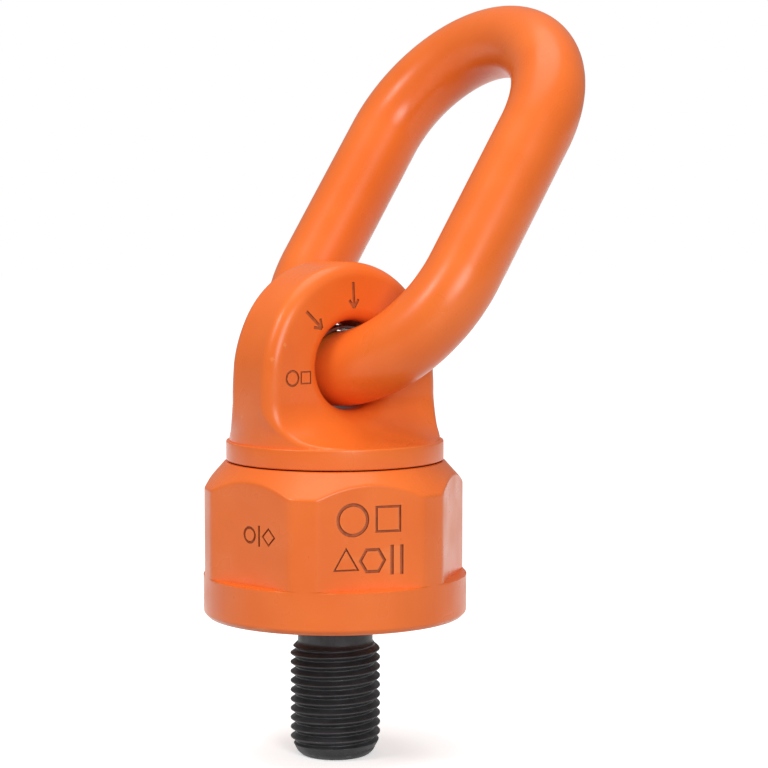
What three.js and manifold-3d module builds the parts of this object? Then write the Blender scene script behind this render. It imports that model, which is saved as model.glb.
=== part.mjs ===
import * as THREE from 'three';
import { mergeVertices } from 'three/addons/utils/BufferGeometryUtils.js';
import Module from 'manifold-3d';

// Swivel hoist ring with an M24 stud. Millimetres, +Z up. The origin is the centre of the seat
// face, the eye hole runs along Y and the link leans towards +X.

const wasm = await Module();
wasm.setup();
const { Manifold, Mesh } = wasm;

// ---- Driving dimensions -------------------------------------------------------------------

const GAP = 0.3; // between pieces that touch on the real ring
const RAD = Math.PI / 180;

// Housing
const HOUSING_R = 35;
const ACROSS_FLATS = 64;
const FLAT_TURN = 9 * RAD; // direction of one wrench flat, counter-clockwise from +X
const PLUG_TURN = FLAT_TURN + 60 * RAD; // the flat that carries the filler plug
const EDGE = 1.15; // chamfer round the seat face
const FLAT_FOOT = 11.2; // height of the ledge between the round flange and the flats
const SHOULDER_Z = 34.5; // lower edge of the conical shoulder
const TOP_Z = 41;
const TOP_R = 29.2;
const FLOOR_Z = 9; // thickness of the bottom wall
const BORE_R = 19.5;

// Lower ball row: it locks the head into the housing
const LOCK_BALLS = 13;
const LOCK_BALL_R = 4.5;
const LOCK_PITCH_R = 19.35;
const LOCK_Z = 24;

// Upper ball row: it carries the collar
const TOP_BALLS = 18;
const TOP_BALL_R = 2.5;
const TOP_PITCH_R = 23.2;
const TOP_ROW_Z = 39.6;
const RECESS_R = 26.4;
const RECESS_Z = 37.6;
const CAGE_T = 2;
const CAGE_CLEAR = [1, 0.4]; // to the trunnion and to the wall of the recess

// Dust seal between the collar and the housing
const SEAL_R = 27.3;
const SEAL_WIRE_R = 0.7;
const SEAL_LEDGE_Z = TOP_ROW_Z - GAP;

// Head: trunnion, collar and eye in one forging
const TRUNNION_R = 19.2;
const TRUNNION_Z = 16.2;
const COLLAR_R = 28.85;
const COLLAR_Z = TOP_Z + GAP;
const COLLAR_TOP = 46.6;
const EYE_R = 27;
const EYE_Z = 66.5;
const EYE_HALF_T = 9.4; // half the thickness between the two faces of the eye
const EYE_RIM = 3.2; // rounding between the faces and the rim
const EYE_HALF_W = 27.4; // half width of the eye at the height of the hole
const SHANK_HALF_W = 28; // half width of the shank at the collar
const FLARE_H = 11.5; // height of the concave sweep from the faces out to the collar
const SHANK_R = 28; // round outline that the sweep and the flanks end on
const HOLE_R = 11.8;
const HOLE_LIP = 3.3;

// Clamp spring in the roof of the eye hole
const SPRING_T = 0.9;
const SPRING_HALF_W = 4.5;
const SPRING_FOOT = [10.4, 5.6]; // centre of a rolled end, from the hole's axis
const SPRING_MID = 9.95; // height of the middle of the bow above the hole's axis
const ROLL_R = 0.9;
const POCKET_R = 13.1;
const POCKET_ARC = 70 * RAD; // each way from the top
const POCKET_DEEP = 1.5; // how far the pocket's cutter reaches into the open hole

// Link
const BAR_R = 9.9;
const LINK_W = 63.4; // between the centre lines of the two straights
const LINK_S = 42.5; // length of each straight
const LINK_LEAN = 33.9 * RAD;
const PIVOT_X = 0.1; // the bar lies low in the hole, on the side the link leans to
const PIVOT_Y = -0.3;
const PIVOT_Z = 65.4;

// Stud
const THREAD_R = 12;
const ROOT_R = 10.5;
const PITCH = 2.5;
const CREST_Z = -6.69; // height of the thread's crest line on the +X side, above the neck's end
const CREST_FLAT = PITCH / 8;
const ROOT_FLAT = 0.2 * PITCH;
const NECK_R = 10;
const NECK_Z = -7.5;
const STUD_END = -38;
const TIP_R = 8.9; // end face
const TIP_EDGE = [10.2, 1.1]; // radius and height above the end where the rounding meets the taper
const TIP_TAPER = 4.6; // height above the end where the taper reaches the full thread
const SHANK_HOLE_R = THREAD_R + GAP;
const STUD_HEAD_R = 18;
const STUD_HEAD_T = 6.2;
const STUD_HEAD_EDGE = 0.5;

// Small fasteners
const DOWEL_R = 1.9;
const DOWEL_CIRCLE_R = 15.2;
const DOWEL_TURN = FLAT_TURN + 30 * RAD;
const DOWEL_Z = [5, 13.6];
const PLUG_R = 4.85;
const PLUG_X = [24.3, 31.5];
const SOCKET_R = 2.9; // over the corners of the hexagon
const SOCKET_DEPTH = 2;
const PIN_R = 1.5;
const PIN_X = 28.4;
const PIN_Z = [0.8, 27];

// Faceting
const FINE = 60;
const COARSE = 36;
const OVERLAP = 1; // how far a cutter or a joined solid runs past the face it meets
const TURN_STEPS = 18; // along one turn of the thread

// ---- Materials ----------------------------------------------------------------------------

const finish = (name, color, metalness, roughness) =>
  new THREE.MeshStandardMaterial({ name, color, metalness, roughness });
const ORANGE = finish('orange_powder_coat', 0xf4763e, 0, 0.35);
const BLACK = finish('black_oxide_steel', 0x2b2b2d, 0.6, 0.5);
const STEEL = finish('bearing_steel', 0xc3c6c9, 1, 0.2);
const SPRING = finish('spring_steel', 0x6a6c70, 1, 0.35);
const BRASS = finish('brass', 0xc9a14a, 1, 0.35);
const RUBBER = finish('black_rubber', 0x1c1c1e, 0, 0.8);

// ---- Solids from three.js shapes ------------------------------------------------------------

function solid(geometry) {
  const bare = geometry.clone();
  for (const name of ['normal', 'uv']) bare.deleteAttribute(name);
  const welded = mergeVertices(bare, 1e-4);
  return new Manifold(new Mesh({
    numProp: 3,
    vertProperties: new Float32Array(welded.attributes.position.array),
    triVerts: new Uint32Array(welded.index.array),
  }));
}

function surface(body) {
  const mesh = body.getMesh();
  const geometry = new THREE.BufferGeometry();
  geometry.setAttribute('position', new THREE.BufferAttribute(mesh.vertProperties, 3));
  geometry.setIndex(new THREE.BufferAttribute(mesh.triVerts, 1));
  const flat = geometry.toNonIndexed();
  flat.computeVertexNormals();
  return flat;
}

const join = (bodies) => bodies.reduce((sum, body) => sum.add(body));
const cut = (body, tools) => tools.reduce((rest, tool) => rest.subtract(tool), body);

// A profile of [radius, height] points turned about Z.
function turned(profile, segments) {
  const points = profile.map(([r, z]) => new THREE.Vector2(r, z));
  return solid(new THREE.LatheGeometry(points, segments).rotateX(Math.PI / 2));
}

// An outline in XZ, extruded along Y by `depth` to each side of the XZ plane.
function extrudedAcross(shape, depth, curveSegments = 12) {
  const options = { depth: 2 * depth, bevelEnabled: false, curveSegments };
  return new THREE.ExtrudeGeometry(shape, options).rotateX(Math.PI / 2).translate(0, depth, 0);
}

// A round bar standing on Z from height z0 to z1.
function upright(radius, z0, z1, segments = 16) {
  const bar = new THREE.CylinderGeometry(radius, radius, z1 - z0, segments);
  return bar.rotateX(Math.PI / 2).translate(0, 0, (z0 + z1) / 2);
}

// A round bar lying on X from x0 to x1.
function lying(radius, x0, x1, segments = 24) {
  const bar = new THREE.CylinderGeometry(radius, radius, x1 - x0, segments);
  return bar.rotateZ(Math.PI / 2).translate((x0 + x1) / 2, 0, 0);
}

// Points of an arc in the [radius, height] plane.
function arc(r, z, radius, from, to, steps) {
  return Array.from({ length: steps + 1 }, (_, i) => {
    const a = from + ((to - from) * i) / steps;
    return [r + radius * Math.cos(a), z + radius * Math.sin(a)];
  });
}

// ---- Housing --------------------------------------------------------------------------------

function housingBody() {
  const race = TOP_BALL_R + GAP;
  const top = Math.asin((RECESS_Z - TOP_ROW_Z) / race);
  const groove = LOCK_BALL_R + GAP;
  const side = Math.acos((BORE_R - LOCK_PITCH_R) / groove);
  const start = [SHANK_HOLE_R, 0];
  return turned([
    start,
    [HOUSING_R - EDGE, 0], [HOUSING_R, EDGE],
    [HOUSING_R, SHOULDER_Z], [TOP_R, TOP_Z],
    [SEAL_R + SEAL_WIRE_R + GAP, TOP_Z], [SEAL_R + SEAL_WIRE_R + GAP, SEAL_LEDGE_Z],
    [RECESS_R, SEAL_LEDGE_Z], [RECESS_R, RECESS_Z],
    ...arc(TOP_PITCH_R, TOP_ROW_Z, race, top, -Math.PI - top, 6),
    [BORE_R, RECESS_Z],
    ...arc(LOCK_PITCH_R, LOCK_Z, groove, side, -side, 10),
    [BORE_R, FLOOR_Z], [SHANK_HOLE_R, FLOOR_Z],
    start,
  ], FINE);
}

function flatCutters() {
  const half = ACROSS_FLATS / 2;
  const depth = HOUSING_R + OVERLAP - half;
  const height = TOP_Z + OVERLAP - FLAT_FOOT;
  const tool = new THREE.BoxGeometry(depth, HOUSING_R, height)
    .translate(half + depth / 2, 0, FLAT_FOOT + height / 2);
  return [0, 1, 2, 3, 4, 5].map((i) => solid(tool.clone().rotateZ(FLAT_TURN + i * 60 * RAD)));
}

function dowelPlaces() {
  return [0, 1].map((i) => {
    const turn = DOWEL_TURN + i * Math.PI;
    return [DOWEL_CIRCLE_R * Math.cos(turn), DOWEL_CIRCLE_R * Math.sin(turn)];
  });
}

const dowelHoles = () => dowelPlaces().map(([x, y]) =>
  solid(upright(DOWEL_R + GAP, DOWEL_Z[0] - GAP, TOP_Z).translate(x, y, 0)));

const pinHole = () =>
  solid(upright(PIN_R + GAP, -OVERLAP, PIN_Z[1] + GAP).translate(PIN_X, 0, 0).rotateZ(PLUG_TURN));

function housing() {
  const plugHole = solid(lying(PLUG_R + GAP, LOCK_PITCH_R, HOUSING_R + OVERLAP)
    .translate(0, 0, LOCK_Z).rotateZ(PLUG_TURN));
  return cut(housingBody(), [...flatCutters(), ...dowelHoles(), plugHole, pinHole()]);
}

function fillerPlug() {
  const body = solid(lying(PLUG_R, PLUG_X[0], PLUG_X[1]).translate(0, 0, LOCK_Z).rotateZ(PLUG_TURN));
  const socket = lying(SOCKET_R, PLUG_X[1] - SOCKET_DEPTH, PLUG_X[1] + OVERLAP, 6)
    .translate(0, 0, LOCK_Z);
  return cut(body, [solid(socket.rotateZ(PLUG_TURN)), pinHole()]);
}

const plugPin = () => solid(upright(PIN_R, ...PIN_Z).translate(PIN_X, 0, 0).rotateZ(PLUG_TURN));

// ---- Stud -----------------------------------------------------------------------------------

// A right-hand helix run from the top down, with frames that keep the section radial.
class Helix extends THREE.Curve {
  constructor(radius, top, turns, pitch) {
    super();
    Object.assign(this, { radius, top, turns, pitch });
  }

  outward(t) {
    const a = -2 * Math.PI * this.turns * t;
    return new THREE.Vector3(Math.cos(a), Math.sin(a), 0);
  }

  getPoint(t, target = new THREE.Vector3()) {
    return target.copy(this.outward(t)).multiplyScalar(this.radius)
      .setZ(this.top - this.pitch * this.turns * t);
  }

  computeFrenetFrames(segments) {
    const steps = Array.from({ length: segments + 1 }, (_, i) => i / segments);
    const up = new THREE.Vector3(0, 0, 1);
    return {
      normals: steps.map((t) => this.outward(t)),
      binormals: steps.map(() => up),
      tangents: steps.map((t) => this.outward(t).cross(up)),
    };
  }
}

function threadRidge() {
  const depth = THREAD_R - ROOT_R;
  const foot = (PITCH - ROOT_FLAT) / 2;
  const section = new THREE.Shape([
    new THREE.Vector2(-GAP, -foot), new THREE.Vector2(depth, -CREST_FLAT / 2),
    new THREE.Vector2(depth, CREST_FLAT / 2), new THREE.Vector2(-GAP, foot),
  ]);
  const turns = Math.ceil((CREST_Z - STUD_END) / PITCH) + 0.5;
  const extrudePath = new Helix(ROOT_R, CREST_Z, turns, PITCH);
  const steps = Math.round(turns * TURN_STEPS);
  return solid(new THREE.ExtrudeGeometry(section, { extrudePath, steps }));
}

// The stud below its seat: plain neck, full thread diameter and tapered tip.
const studOutline = (radius) => [
  [0, STUD_END], [TIP_R, STUD_END], [Math.min(TIP_EDGE[0], radius), STUD_END + TIP_EDGE[1]],
  [radius, STUD_END + TIP_TAPER], [radius, NECK_Z + NECK_R - radius], [NECK_R, NECK_Z],
];

function stud() {
  const envelope = turned([...studOutline(THREAD_R), [0, NECK_Z]], COARSE);
  const core = turned([
    ...studOutline(ROOT_R),
    [NECK_R, 0], [THREAD_R, THREAD_R - NECK_R],
    [THREAD_R, FLOOR_Z + GAP], [STUD_HEAD_R, FLOOR_Z + GAP],
    [STUD_HEAD_R, FLOOR_Z + STUD_HEAD_T],
    [STUD_HEAD_R - STUD_HEAD_EDGE, FLOOR_Z + STUD_HEAD_T + STUD_HEAD_EDGE],
    [0, FLOOR_Z + STUD_HEAD_T + STUD_HEAD_EDGE],
  ], COARSE);
  return cut(core.add(threadRidge().intersect(envelope)), dowelHoles());
}

const dowel = ([x, y]) => solid(upright(DOWEL_R, ...DOWEL_Z).translate(x, y, 0));

// ---- Head -----------------------------------------------------------------------------------

const COLLAR_EDGE = 0.4;
const TRUNNION_EDGE = 1;

function trunnionAndCollar() {
  const groove = LOCK_BALL_R + GAP;
  const side = Math.PI - Math.acos((LOCK_PITCH_R - TRUNNION_R) / groove);
  const race = TOP_BALL_R + GAP;
  const low = Math.asin((COLLAR_Z - TOP_ROW_Z) / race);
  return turned([
    [0, TRUNNION_Z], [TRUNNION_R - TRUNNION_EDGE, TRUNNION_Z],
    [TRUNNION_R, TRUNNION_Z + TRUNNION_EDGE],
    ...arc(LOCK_PITCH_R, LOCK_Z, groove, 2 * Math.PI - side, side, 10),
    [TRUNNION_R, COLLAR_Z],
    ...arc(TOP_PITCH_R, TOP_ROW_Z, race, Math.PI - low, low, 6),
    [COLLAR_R - COLLAR_EDGE, COLLAR_Z], [COLLAR_R, COLLAR_Z + COLLAR_EDGE],
    [COLLAR_R, COLLAR_TOP - COLLAR_EDGE], [COLLAR_R - COLLAR_EDGE, COLLAR_TOP],
    [0, COLLAR_TOP],
  ], FINE);
}

// The round eye: a disc about Y, a little wider than high, whose two rims are rounded.
function eyeDisc() {
  const flat = EYE_HALF_T - EYE_RIM;
  const disc = turned([
    [0, -EYE_HALF_T],
    ...arc(EYE_R - EYE_RIM, -flat, EYE_RIM, -Math.PI / 2, 0, 4),
    ...arc(EYE_R - EYE_RIM, flat, EYE_RIM, 0, Math.PI / 2, 4),
    [0, EYE_HALF_T],
  ], FINE);
  return disc.rotate([90, 0, 0]).scale([EYE_HALF_W / EYE_R, 1, 1]).translate([0, 0, EYE_Z]);
}

// The shank under the eye keeps the disc's section down to the collar and widens a little.
function eyeShank() {
  const x = SHANK_HALF_W - EYE_RIM;
  const y = EYE_HALF_T - EYE_RIM;
  const section = new THREE.Shape();
  [[x, y, 0], [-x, y, 1], [-x, -y, 2], [x, -y, 3]].forEach(([cx, cy, quarter]) =>
    section.absarc(cx, cy, EYE_RIM, (quarter * Math.PI) / 2, ((quarter + 1) * Math.PI) / 2));
  const depth = EYE_Z - COLLAR_TOP + OVERLAP;
  const prism = new THREE.ExtrudeGeometry(section, { depth, bevelEnabled: false, curveSegments: 4 });
  const { position } = prism.attributes;
  for (let i = 0; i < position.count; i += 1) {
    if (position.getZ(i) > 0) position.setX(i, (position.getX(i) * EYE_HALF_W) / SHANK_HALF_W);
  }
  return solid(prism.translate(0, 0, COLLAR_TOP - OVERLAP));
}

// The concave sweep from both faces out to the round collar.
function eyeFlare() {
  const top = COLLAR_TOP + FLARE_H;
  const reach = SHANK_R - EYE_HALF_T;
  const outline = new THREE.Shape();
  outline.moveTo(-SHANK_R, COLLAR_TOP - OVERLAP).lineTo(SHANK_R, COLLAR_TOP - OVERLAP);
  outline.absellipse(SHANK_R, top, reach, FLARE_H, -Math.PI / 2, -Math.PI, true);
  outline.absellipse(-SHANK_R, top, reach, FLARE_H, 0, -Math.PI / 2, true);
  const sweep = solid(extrudedAcross(outline, COLLAR_R, 8).rotateZ(Math.PI / 2));
  const round = turned([
    [0, COLLAR_TOP - OVERLAP], [SHANK_R, COLLAR_TOP - OVERLAP], [SHANK_R, COLLAR_TOP + FLARE_H / 4],
    [EYE_R, COLLAR_TOP + FLARE_H / 1.5], [EYE_R - EYE_RIM / 2, top], [0, top],
  ], FINE);
  return sweep.intersect(round);
}

function holeCutter() {
  const straight = EYE_HALF_T - HOLE_LIP;
  const lip = HOLE_R + HOLE_LIP;
  const out = EYE_HALF_T + OVERLAP;
  return turned([
    [0, -out], [lip, -out],
    ...arc(lip, -straight, HOLE_LIP, 1.5 * Math.PI, Math.PI, 3),
    ...arc(lip, straight, HOLE_LIP, Math.PI, Math.PI / 2, 3),
    [lip, out], [0, out],
  ], COARSE).rotate([90, 0, 0]).translate([0, 0, EYE_Z]);
}

// The part of a ring within `half` of the top.
function ringSector(inner, outer, half) {
  const from = Math.PI / 2 - half;
  const to = Math.PI / 2 + half;
  const shape = new THREE.Shape();
  shape.absarc(0, 0, outer, from, to);
  shape.absarc(0, 0, inner, to, from, true);
  return shape;
}

function head() {
  const pocket = ringSector(HOLE_R - POCKET_DEEP, POCKET_R, POCKET_ARC);
  const tool = solid(extrudedAcross(pocket, SPRING_HALF_W + GAP).translate(0, 0, EYE_Z));
  const forging = join([trunnionAndCollar(), eyeShank(), eyeFlare(), eyeDisc()]);
  return cut(forging, [holeCutter(), tool]);
}

// A bowed leaf whose rolled ends sit in the pocket and whose middle presses on the bar.
function clampSpring() {
  const [footX, footZ] = SPRING_FOOT;
  const rise = SPRING_MID - footZ;
  const bowR = (footX ** 2 + rise ** 2) / (2 * rise);
  const leaf = ringSector(bowR - SPRING_T / 2, bowR + SPRING_T / 2, Math.asin(footX / bowR));
  const bow = extrudedAcross(leaf, SPRING_HALF_W, 20).translate(0, 0, SPRING_MID - bowR);
  const rolls = [-1, 1].map((side) => {
    const roll = new THREE.CylinderGeometry(ROLL_R, ROLL_R, 2 * SPRING_HALF_W, 12);
    return roll.translate(side * footX, 0, footZ);
  });
  return join([bow, ...rolls].map(solid)).translate([0, 0, EYE_Z]);
}

// ---- Link -----------------------------------------------------------------------------------

const BEND_STEPS = 24;
const STRAIGHT_STEPS = 6;

// Centre line of the link in its own YZ plane, with the bar in the eye at the origin.
function linkStation(step) {
  const r = LINK_W / 2;
  const half = BEND_STEPS + STRAIGHT_STEPS;
  const upper = step >= half;
  const local = upper ? step - half : step;
  const side = upper ? -1 : 1;
  const bend = Math.min(local, BEND_STEPS) / BEND_STEPS;
  const a = (upper ? 0 : -Math.PI) + bend * Math.PI;
  const along = (Math.max(local - BEND_STEPS, 0) / STRAIGHT_STEPS) * LINK_S;
  const centre = (upper ? r + LINK_S : r) + side * along;
  return { y: r * Math.cos(a), z: centre + r * Math.sin(a), ny: Math.cos(a), nz: Math.sin(a) };
}

// A torus whose rings are moved onto the oblong centre line.
function link() {
  const steps = 2 * (BEND_STEPS + STRAIGHT_STEPS);
  const torus = new THREE.TorusGeometry(LINK_W / 2, BAR_R, 14, steps);
  const { position, uv } = torus.attributes;
  for (let i = 0; i < position.count; i += 1) {
    const { y, z, ny, nz } = linkStation(Math.round(uv.getX(i) * steps) % steps);
    const v = uv.getY(i) * 2 * Math.PI;
    const out = BAR_R * Math.cos(v);
    position.setXYZ(i, BAR_R * Math.sin(v), y + out * ny, z + out * nz);
  }
  return solid(torus);
}

// ---- Bearing --------------------------------------------------------------------------------

const onCircle = (count, radius) => Array.from({ length: count }, (_, i) => {
  const a = ((i + 0.5) * 2 * Math.PI) / count;
  return [radius * Math.cos(a), radius * Math.sin(a)];
});

function cage() {
  const z0 = TOP_ROW_Z - CAGE_T / 2;
  const z1 = TOP_ROW_Z + CAGE_T / 2;
  const inner = TRUNNION_R + CAGE_CLEAR[0];
  const outer = RECESS_R - CAGE_CLEAR[1];
  const ring = turned([[inner, z0], [outer, z0], [outer, z1], [inner, z1], [inner, z0]], COARSE);
  const window = upright(TOP_BALL_R + GAP, z0 - OVERLAP, z1 + OVERLAP, 12);
  return cut(ring, onCircle(TOP_BALLS, TOP_PITCH_R).map(([x, y]) =>
    solid(window.clone().translate(x, y, 0))));
}

const ball = (radius, detail) => solid(new THREE.IcosahedronGeometry(radius, detail));
const dustSeal = () =>
  solid(new THREE.TorusGeometry(SEAL_R, SEAL_WIRE_R, 8, FINE).translate(0, 0, TOP_ROW_Z + SEAL_WIRE_R));

// ---- Assembly -------------------------------------------------------------------------------

const ring = new THREE.Group();

function piece(name, body, material, parent = ring) {
  const mesh = new THREE.Mesh(surface(body), material);
  mesh.name = name;
  parent.add(mesh);
  return mesh;
}

piece('bearing_housing', housing(), ORANGE);
piece('threaded_stud', stud(), BLACK);
dowelPlaces().forEach((place, i) => piece(`stud_dowel_${i + 1}`, dowel(place), STEEL));
piece('filler_plug', fillerPlug(), BLACK);
piece('plug_lock_pin', plugPin(), STEEL);
piece('dust_seal', dustSeal(), RUBBER);
piece('eye_head', head(), ORANGE);
piece('clamp_spring', clampSpring(), SPRING);
piece('upper_ball_cage', cage(), BRASS);

function ballRow(name, count, pitchRadius, z, body) {
  onCircle(count, pitchRadius).forEach(([x, y], i) =>
    piece(`${name}_${String(i + 1).padStart(2, '0')}`, body, STEEL).position.set(x, y, z));
}

ballRow('upper_ball', TOP_BALLS, TOP_PITCH_R, TOP_ROW_Z, ball(TOP_BALL_R, 1));
ballRow('locking_ball', LOCK_BALLS, LOCK_PITCH_R, LOCK_Z, ball(LOCK_BALL_R, 2));

const linkFrame = new THREE.Group();
linkFrame.position.set(PIVOT_X, PIVOT_Y, PIVOT_Z);
linkFrame.rotation.y = LINK_LEAN;
ring.add(linkFrame);
piece('lifting_link', link(), ORANGE, linkFrame);

export default ring;
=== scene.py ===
"""Swivel hoist ring: the finished look of every piece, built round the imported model."""

import math

import bmesh
import bpy
import numpy as np
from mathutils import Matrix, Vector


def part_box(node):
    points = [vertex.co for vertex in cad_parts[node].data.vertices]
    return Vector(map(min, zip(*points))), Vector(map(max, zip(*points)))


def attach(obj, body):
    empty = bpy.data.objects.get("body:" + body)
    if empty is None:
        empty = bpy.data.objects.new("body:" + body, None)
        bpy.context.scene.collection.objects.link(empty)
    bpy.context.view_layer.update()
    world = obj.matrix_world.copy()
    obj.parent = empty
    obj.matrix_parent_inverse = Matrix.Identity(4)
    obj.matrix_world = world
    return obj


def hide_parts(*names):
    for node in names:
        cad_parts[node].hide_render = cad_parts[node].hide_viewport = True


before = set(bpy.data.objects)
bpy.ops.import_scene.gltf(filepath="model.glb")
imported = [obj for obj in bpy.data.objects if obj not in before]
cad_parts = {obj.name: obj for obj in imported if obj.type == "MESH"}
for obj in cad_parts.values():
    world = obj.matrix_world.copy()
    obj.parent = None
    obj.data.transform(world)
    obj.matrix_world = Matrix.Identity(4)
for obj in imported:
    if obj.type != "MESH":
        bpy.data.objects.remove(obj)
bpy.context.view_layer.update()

import openvdb
from bpy.props import FloatProperty, FloatVectorProperty, IntProperty, PointerProperty
from mathutils import Vector

bl_info = {
    "name": "Swivel Hoist Ring",
    "version": (1, 0, 0),
    "blender": (4, 5, 0),
    "location": "View3D > Sidebar > Hoist Ring",
    "description": "Builds a swivel hoist ring with a ball-bearing head, a link and a stud",
    "category": "Add Mesh",
}

MM = 0.001
TAU = 2 * math.pi
RUNNING_GAP = 0.3  # mm, between pieces that touch on the real ring
HIDDEN_STEPS = 12  # facets on a fillet that is small or out of sight


def millimetres(name, default, text, least=0.0):
    return FloatProperty(name=name, description=text, default=default, min=least, soft_max=200.0)


def degrees(name, default, text):
    return FloatProperty(
        name=name, description=text, default=math.radians(default), subtype="ANGLE", unit="ROTATION"
    )


def paint(name, code, text):
    return FloatVectorProperty(
        name=name, description=text, default=linear(code), size=3, min=0, max=1, subtype="COLOR"
    )


def linear(code):
    """The linear colour of an sRGB hex code."""
    channels = [int(code[i : i + 2], 16) / 255 for i in (0, 2, 4)]
    return [c / 12.92 if c <= 0.04045 else ((c + 0.055) / 1.055) ** 2.4 for c in channels]


# ---- Settings ---------------------------------------------------------------------------------


class HousingSizes(bpy.types.PropertyGroup):
    radius: millimetres("Radius", 35.0, "Outer radius, in mm")
    across_flats: millimetres("Across flats", 64.0, "Between opposite wrench flats, in mm")
    flat_turn: degrees("Flat direction", 9.0, "Direction of one wrench flat from +X")
    flat_foot: millimetres("Flat foot", 11.2, "Height of the ledge under the flats, in mm")
    edge: millimetres("Seat edge", 1.15, "Chamfer round the seat face, in mm")
    shoulder: millimetres("Shoulder", 34.5, "Height of the lower edge of the cone, in mm")
    top: millimetres("Top", 41.0, "Height of the top face, in mm")
    top_radius: millimetres("Top radius", 29.2, "Radius of the top face, in mm")
    floor: millimetres("Floor", 9.0, "Thickness of the bottom wall, in mm")
    bore: millimetres("Bore", 19.5, "Radius of the bore round the trunnion, in mm")
    softness: millimetres("Edge softness", 0.45, "Rounding of the coated edges, in mm")


class BearingSizes(bpy.types.PropertyGroup):
    upper_count: IntProperty(name="Upper balls", description="Balls under the collar", default=18)
    upper_ball: millimetres("Upper ball", 2.5, "Radius of an upper ball, in mm")
    upper_pitch: millimetres("Upper pitch", 23.2, "Radius of the upper row, in mm")
    upper_height: millimetres("Upper height", 39.6, "Height of the upper row, in mm")
    lock_count: IntProperty(
        name="Locking balls", description="Balls round the trunnion", default=13
    )
    lock_ball: millimetres("Locking ball", 4.5, "Radius of a locking ball, in mm")
    lock_pitch: millimetres("Locking pitch", 19.35, "Radius of the locking row, in mm")
    lock_height: millimetres("Locking height", 24.0, "Height of the locking row, in mm")
    recess: millimetres("Recess", 26.4, "Radius of the recess for the cage, in mm")
    recess_floor: millimetres("Recess floor", 37.6, "Height of the recess floor, in mm")
    seal: millimetres("Seal", 27.3, "Radius of the dust seal's centre line, in mm")
    seal_wire: millimetres("Seal section", 0.7, "Radius of the dust seal's section, in mm")


class HeadSizes(bpy.types.PropertyGroup):
    trunnion: millimetres("Trunnion", 19.2, "Radius of the trunnion, in mm")
    trunnion_foot: millimetres("Trunnion foot", 16.2, "Height of the trunnion's lower end, in mm")
    collar: millimetres("Collar", 28.85, "Radius of the collar, in mm")
    collar_foot: millimetres("Collar foot", 41.3, "Height of the collar's lower face, in mm")
    collar_top: millimetres("Collar top", 46.6, "Height of the collar's upper face, in mm")
    eye: millimetres("Eye", 27.15, "Outer radius of the eye, in mm")
    widening: millimetres("Widening", 1.25, "How much wider the flanks are at the collar, in mm")
    eye_height: millimetres("Eye height", 66.5, "Height of the hole's axis, in mm")
    half_thickness: millimetres("Half thickness", 9.4, "Half the thickness of the eye, in mm")
    rim: millimetres("Rim", 4.0, "Rounding of the eye's rims, in mm")
    sweep: millimetres("Sweep", 11.5, "Height of the sweep out to the collar, in mm")
    shank: millimetres("Shank", 28.0, "Radius of the round outline above the collar, in mm")
    hole: millimetres("Hole", 11.8, "Radius of the eye hole, in mm")
    lip: millimetres("Lip", 3.7, "Rounding of the hole's two lips, in mm")
    pocket: millimetres("Pocket", 13.1, "Radius of the spring pocket, in mm")
    pocket_half: millimetres("Pocket half width", 4.8, "Half the pocket's width, in mm")
    pocket_arc: degrees("Pocket arc", 70.0, "Reach of the pocket each way from the top")
    grain: millimetres("Facet size", 0.44, "Size of the surface facets of the forging, in mm")


class LinkSizes(bpy.types.PropertyGroup):
    bar: millimetres("Bar", 9.9, "Radius of the link's round bar, in mm")
    width: millimetres("Width", 63.4, "Between the centre lines of the straights, in mm")
    straight: millimetres("Straight", 42.8, "Length of each straight, in mm")
    lean: degrees("Lean", 33.9, "Lean of the link from upright towards +X")
    across: millimetres("Pivot across", 0.1, "X of the bar that lies in the eye, in mm")
    along: millimetres("Pivot along", -0.3, "Y of the bar's middle, in mm", least=-5.0)
    pivot: millimetres("Pivot height", 65.4, "Height of the bar that lies in the eye, in mm")


class StudSizes(bpy.types.PropertyGroup):
    major: millimetres("Major radius", 12.0, "Radius over the thread crests, in mm")
    root: millimetres("Root radius", 10.5, "Radius of the thread roots, in mm")
    pitch: millimetres("Pitch", 2.5, "Pitch of the thread, in mm")
    crest: millimetres("Crest start", 6.69, "Depth of the first crest below the seat, in mm")
    neck_radius: millimetres("Neck radius", 10.0, "Radius of the plain neck, in mm")
    neck: millimetres("Neck", 7.5, "Length of the plain neck below the seat, in mm")
    length: millimetres("Length", 38.0, "Length below the seat, in mm")
    tip: millimetres("Tip radius", 8.9, "Radius of the end face, in mm")
    taper: millimetres("Tip taper", 4.6, "Length of the tapered tip, in mm")
    head: millimetres("Head radius", 18.0, "Radius of the head inside the housing, in mm")
    head_height: millimetres("Head height", 6.2, "Thickness of the head, in mm")


class FinishColours(bpy.types.PropertyGroup):
    orange: paint("Orange coat", "F2752C", "Main colour of the powder coat")
    orange_deep: paint("Orange coat, thick", "E86A24", "Colour where the coat lies thicker")
    # The thin-coat colour is also painted highlight: it pales the coat along outside edges
    orange_thin_and_highlight: paint("Orange coat, thin", "F9985A", "Colour where the coat thins over edges")
    # Groove colours: painted shade inside the stamped marks, darker than the coat
    groove: paint("Grooves", "C2602E", "Colour of the coat pooled in the stamped marks")
    groove_dust_and_shade: paint("Grooves, dusty", "A45228", "Colour of the dust in the stamped marks")
    oxide: paint("Black oxide", "2A2A2C", "Main colour of the blackened steel")
    oxide_worn: paint("Black oxide, rubbed", "4A4A4D", "Colour where the black is rubbed")
    steel: paint("Bearing steel", "C3C6C9", "Colour of ground steel")
    spring: paint("Spring steel", "6A6C70", "Colour of tempered spring steel")
    brass: paint("Brass", "C9A14A", "Colour of the cage")
    rubber: paint("Rubber", "1C1C1E", "Colour of the dust seal")


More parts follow.
